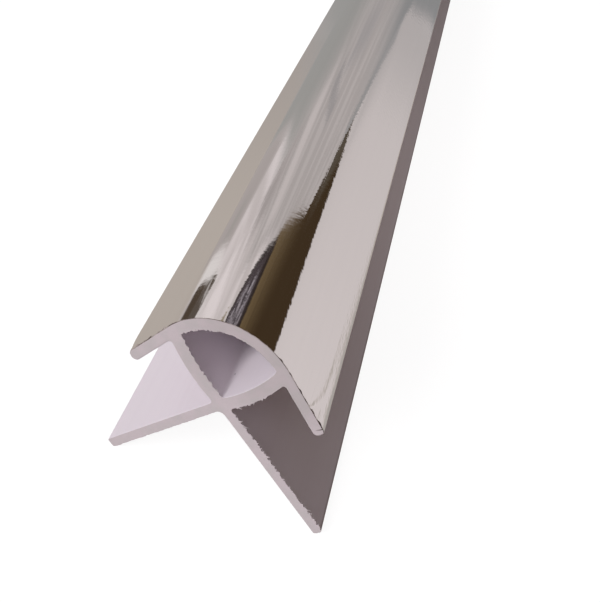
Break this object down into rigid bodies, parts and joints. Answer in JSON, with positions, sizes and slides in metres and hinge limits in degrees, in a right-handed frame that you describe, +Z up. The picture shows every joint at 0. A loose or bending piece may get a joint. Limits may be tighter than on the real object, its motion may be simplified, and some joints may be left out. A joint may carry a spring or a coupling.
{
  "type": "external corner trim",
  "caption": "Extruded corner trim with a chrome-faced round front, two panel slots and two back legs at right angles, round a hollow chamber.",
  "frame": {"origin": "middle of the bounding box's underside, on the level floor that the two leg tips stand on", "axes": "+Y along the trim's length, away from the end that the picture shows; +Z up through the round front; +X to the right seen from that end"},
  "size_m": [0.03, 2.6, 0.0272],
  "materials": {
    "white_pvc": "satin extruded white PVC",
    "chrome_film": "mirror-bright laminated film with fine die lines along the length"
  },
  "bodies": {
    "root": {"corner_trim": "white_pvc"}
  },
  "joints": []
}
